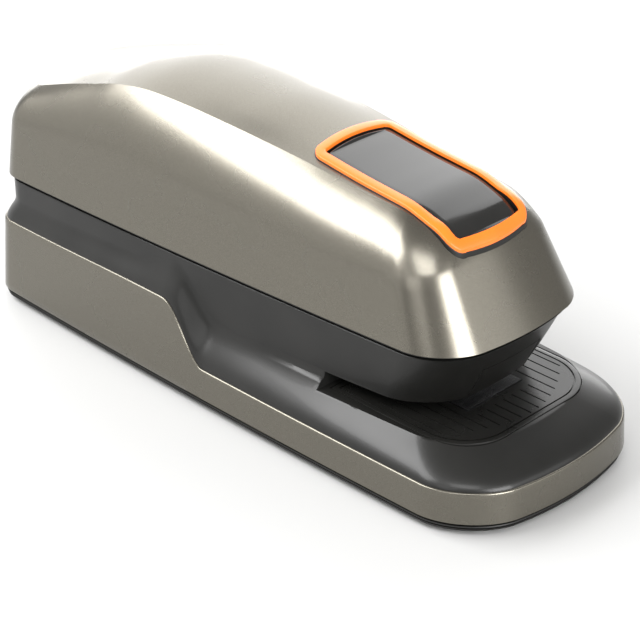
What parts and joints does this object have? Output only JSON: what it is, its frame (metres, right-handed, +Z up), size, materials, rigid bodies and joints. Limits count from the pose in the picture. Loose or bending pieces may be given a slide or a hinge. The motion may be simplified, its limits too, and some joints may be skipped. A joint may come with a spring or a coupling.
{
  "type": "electric stapler",
  "caption": "Compact desktop electric stapler with a sloping metallic cover, a press button in a raised surround, and a low paper throat over a ribbed deck.",
  "frame": {"origin": "centre of the base's footprint, on the surface that the feet stand on", "axes": "+X towards the stapling nose, +Y to the stapler's left side, +Z up"},
  "size_m": [0.218, 0.0834, 0.0917],
  "materials": {
    "silver_paint": "satin warm taupe silver metallic paint",
    "black_body": "semi-gloss black moulded plastic",
    "black_base": "satin black moulded plastic",
    "black_deck": "fine textured black plastic with ribs",
    "gloss_black": "high gloss black plastic",
    "orange_trim": "satin orange plastic",
    "steel_bright": "bright machined steel",
    "steel_sheet": "zinc plated pressed steel",
    "staple_wire": "bright galvanised wire",
    "nylon_natural": "natural nylon",
    "brass_gear": "machined brass",
    "motor_can": "plated motor can",
    "green_board": "green solder mask",
    "rubber_foot": "matt black rubber"
  },
  "bodies": {
    "root": {"top_cover": "silver_paint", "side_band": "silver_paint", "body_housing": "black_body", "bottom_pan": "black_base", "badge_ring": "orange_trim", "deck_plate": "black_deck", "anvil": "steel_bright", "dc_inlet": "black_base", "magazine_guide": "nylon_natural", "frame_left": "steel_sheet", "frame_right": "steel_sheet", "frame_spacer_1": "steel_bright", "frame_spacer_2": "steel_bright", "first_gear_pin": "steel_bright", "second_gear_pin": "steel_bright", "lever_pin": "steel_bright", "latch_pin": "steel_bright", "trigger_pin": "steel_bright", "motor": "motor_can", "driver_guide": "steel_sheet", "button_carrier": "nylon_natural", "paper_switch": "black_base", "circuit_board": "green_board", "foot_front_left": "rubber_foot", "pan_screw_front_left": "steel_bright", "foot_front_right": "rubber_foot", "pan_screw_front_right": "steel_bright", "foot_rear_left": "rubber_foot", "pan_screw_rear_left": "steel_bright", "foot_rear_right": "rubber_foot", "pan_screw_rear_right": "steel_bright", "button_spring": "steel_bright"},
    "crank": {"crank_gear": "steel_sheet", "crank_shaft": "steel_bright", "crank_cam": "steel_bright"},
    "second_gear_body": {"second_gear": "nylon_natural"},
    "first_gear_body": {"first_gear": "nylon_natural"},
    "motor_rotor": {"motor_pinion": "brass_gear"},
    "lever": {"drive_lever": "steel_sheet"},
    "driver": {"driver_ram": "steel_sheet", "driver_blade": "steel_bright"},
    "magazine": {"magazine_channel": "steel_sheet", "magazine_nose": "black_body", "staple_strip": "staple_wire", "staple_core": "black_base"},
    "pusher": {"staple_pusher": "nylon_natural"},
    "button": {"release_button": "gloss_black"},
    "latch": {"release_latch": "steel_sheet"},
    "trigger": {"paper_trigger": "nylon_natural"}
  },
  "joints": [
    {"name": "crank_turn", "type": "hinge", "parent": "root", "child": "crank", "pos_m": [-0.017, 0, 0.0556], "axis": [0, -1, 0], "range_deg": [-180, 0]},
    {"name": "second_gear_turn", "type": "hinge", "parent": "root", "child": "second_gear_body", "pos_m": [-0.03561, -0.0267, 0.04883], "axis": [0, 1, 0], "range_deg": [-810, 0]},
    {"name": "first_gear_turn", "type": "hinge", "parent": "root", "child": "first_gear_body", "pos_m": [-0.05035, -0.0233, 0.0385], "axis": [0, 1, 0], "range_deg": [0, 3240]},
    {"name": "motor_turn", "type": "hinge", "parent": "root", "child": "motor_rotor", "pos_m": [-0.06053, -0.0234, 0.02832], "axis": [0, 1, 0], "range_deg": [-9720, 0]},
    {"name": "lever_rock", "type": "hinge", "parent": "root", "child": "lever", "pos_m": [0.0185, 0, 0.0556], "axis": [0, 1, 0], "range_deg": [0, 16.2]},
    {"name": "driver_slide", "type": "slide", "parent": "root", "child": "driver", "axis": [0, 0, -1], "range_m": [0, 0.01367]},
    {"name": "magazine_slide", "type": "slide", "parent": "root", "child": "magazine", "axis": [1, 0, 0], "range_m": [0, 0.06]},
    {"name": "pusher_slide", "type": "slide", "parent": "magazine", "child": "pusher", "axis": [-1, 0, 0], "range_m": [0, 0.012]},
    {"name": "button_press", "type": "slide", "parent": "root", "child": "button", "axis": [0, 0, -1], "range_m": [0, 0.002], "stiffness_N_per_m": 600, "springref_m": -0.0015, "deforming": ["button_spring"]},
    {"name": "latch_rock", "type": "hinge", "parent": "root", "child": "latch", "pos_m": [0.0585, 0.011, 0.048], "axis": [0, 1, 0], "range_deg": [-11.46, 0]},
    {"name": "trigger_swing", "type": "hinge", "parent": "root", "child": "trigger", "pos_m": [0.0505, 0.014, 0.034], "axis": [0, 1, 0], "range_deg": [0, 28], "stiffness_Nm_per_rad": 0.01, "springref_deg": -5.73}
  ],
  "couplings": [
    {"joint": "second_gear_turn", "follows": "crank_turn", "ratio": 4.5},
    {"joint": "first_gear_turn", "follows": "crank_turn", "ratio": -18},
    {"joint": "motor_turn", "follows": "crank_turn", "ratio": 54},
    {"joint": "lever_rock", "follows": "crank_turn", "ratio": -0.09},
    {"joint": "driver_slide", "follows": "crank_turn", "m_per_rad": -0.0043505},
    {"joint": "latch_rock", "follows": "button_press", "rad_per_m": -100}
  ]
}
